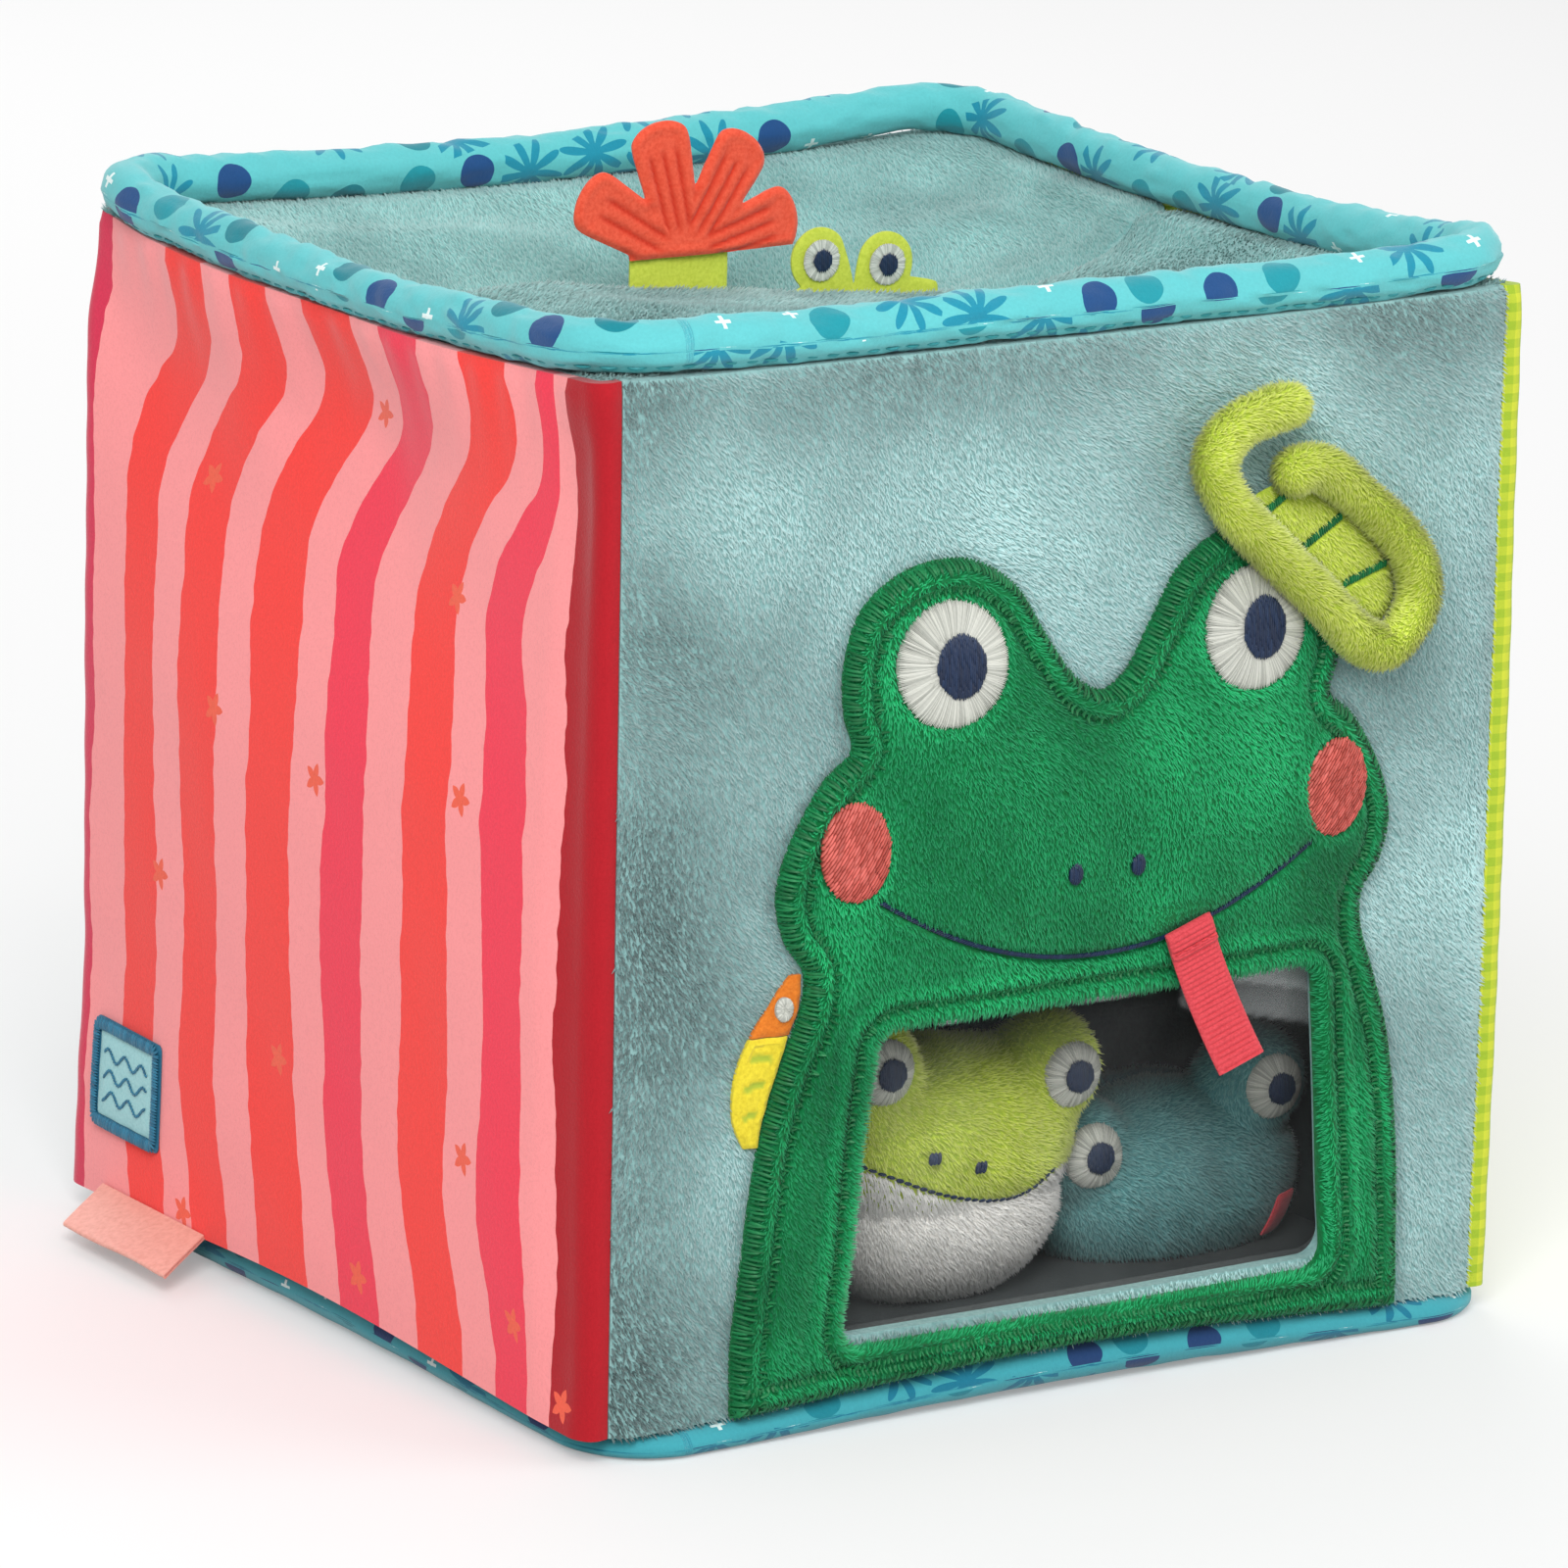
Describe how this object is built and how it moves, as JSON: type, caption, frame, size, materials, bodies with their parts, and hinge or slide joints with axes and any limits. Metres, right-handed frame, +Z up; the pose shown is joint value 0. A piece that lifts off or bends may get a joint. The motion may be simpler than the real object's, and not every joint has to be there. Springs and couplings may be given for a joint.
{
  "type": "soft fabric block",
  "caption": "Soft cube with foam boards in its cloth sides, a slit in the sunken top, a frog with a clear window and small stuffed frogs in a pocket behind it.",
  "frame": {"origin": "middle of the base cloth, on the surface that the block stands on", "axes": "+Z up, -Y out of the frog's face, +X to the viewer's right"},
  "size_m": [0.2266, 0.2176, 0.2256],
  "materials": {
    "teal_plush": "short plush pile, matt",
    "pink_jersey": "printed jersey with wavy red stripes, matt",
    "lime_check": "woven cotton with a fine green check, matt",
    "turquoise_print": "printed cotton, matt",
    "foam_board": "foam board under thin white cloth, matt",
    "dark_lining": "dark woven lining, matt",
    "clear_film": "clear soft film, glossy",
    "green_plush": "short plush pile, matt",
    "white_thread": "satin stitch, soft sheen",
    "navy_thread": "satin stitch, soft sheen",
    "coral_thread": "satin stitch, soft sheen",
    "coral_ribbon": "grosgrain ribbon",
    "lime_plush": "short plush pile, matt",
    "dark_green_thread": "stitched thread",
    "orange_felt": "felt, matt",
    "yellow_felt": "felt, matt",
    "coral_felt": "embossed felt, matt",
    "lime_felt": "felt, matt",
    "patch_border_blue": "woven merrowed edge",
    "patch_pale_blue": "woven label cloth",
    "label_pink": "folded satin tape",
    "white_plush": "short plush pile, matt",
    "blue_plush": "short plush pile, matt",
    "deep_teal_plush": "short plush pile, matt"
  },
  "bodies": {
    "block": {"front_panel": "teal_plush", "right_panel": "lime_check", "back_panel": "teal_plush", "left_panel": "pink_jersey", "bottom_panel": "turquoise_print", "top_front_flap": "teal_plush", "top_rear_flap": "teal_plush", "top_piping": "turquoise_print", "bottom_piping": "turquoise_print", "front_board": "foam_board", "right_board": "foam_board", "back_board": "foam_board", "left_board": "foam_board", "base_board": "foam_board", "window_pocket": "dark_lining", "frog_applique": "green_plush", "window_film": "clear_film", "eye_left": "white_thread", "eye_right": "white_thread", "pupil_left": "navy_thread", "pupil_right": "navy_thread", "cheek_left": "coral_thread", "cheek_right": "coral_thread", "nostril_left": "navy_thread", "nostril_right": "navy_thread", "mouth_stitch": "navy_thread", "leaf_roll": "lime_plush", "leaf_pad": "lime_plush", "leaf_vein_1": "dark_green_thread", "leaf_vein_2": "dark_green_thread", "leaf_vein_3": "dark_green_thread", "patch_border": "patch_border_blue", "patch_field": "patch_pale_blue"},
    "tongue": {"tongue_ribbon": "coral_ribbon"},
    "fish": {"fish_body": "yellow_felt", "fish_head": "orange_felt", "fish_eye": "white_thread"},
    "label": {"side_label": "label_pink"},
    "flower": {"flower_petals": "coral_felt", "flower_calyx": "lime_felt"},
    "peeping_frog": {"peek_frog": "lime_felt", "peek_eye_left": "white_thread", "peek_eye_right": "white_thread", "peek_pupil_left": "navy_thread", "peek_pupil_right": "navy_thread"},
    "lime_toy": {"lime_toy_head": "lime_plush", "lime_toy_belly": "white_plush", "lime_toy_eye_left": "white_thread", "lime_toy_eye_right": "white_thread", "lime_toy_pupil_left": "navy_thread", "lime_toy_pupil_right": "navy_thread"},
    "blue_toy": {"blue_toy_head": "blue_plush", "blue_toy_belly": "deep_teal_plush", "blue_toy_eye_left": "white_thread", "blue_toy_eye_right": "white_thread", "blue_toy_pupil_left": "navy_thread", "blue_toy_pupil_right": "navy_thread", "blue_toy_tongue": "coral_ribbon"}
  },
  "joints": [
    {"name": "tongue_lift", "type": "hinge", "parent": "block", "child": "tongue", "pos_m": [0.0198, -0.1086, 0.0898], "axis": [-0.9461, 0, -0.324], "range_deg": [0, 110]},
    {"name": "fish_turn", "type": "hinge", "parent": "block", "child": "fish", "pos_m": [-0.0653, -0.1047, 0.073], "axis": [0.2519, 0, 0.9677], "range_deg": [0, 100]},
    {"name": "label_lift", "type": "hinge", "parent": "block", "child": "label", "pos_m": [-0.1064, 0.061, 0.0085], "axis": [0, 1, 0], "range_deg": [0, 80]},
    {"name": "flower_lean", "type": "hinge", "parent": "block", "child": "flower", "pos_m": [-0.017, 0.0158, 0.184], "axis": [-1, 0, 0], "range_deg": [0, 30]},
    {"name": "peeping_frog_lean", "type": "hinge", "parent": "block", "child": "peeping_frog", "pos_m": [0.025, 0.0158, 0.184], "axis": [-1, 0, 0], "range_deg": [0, 30]},
    {"name": "lime_toy_lift", "type": "slide", "parent": "block", "child": "lime_toy", "axis": [0, 0, 1], "range_m": [0, 0.1]},
    {"name": "blue_toy_lift", "type": "slide", "parent": "block", "child": "blue_toy", "axis": [0, 0, 1], "range_m": [0, 0.1]}
  ]
}
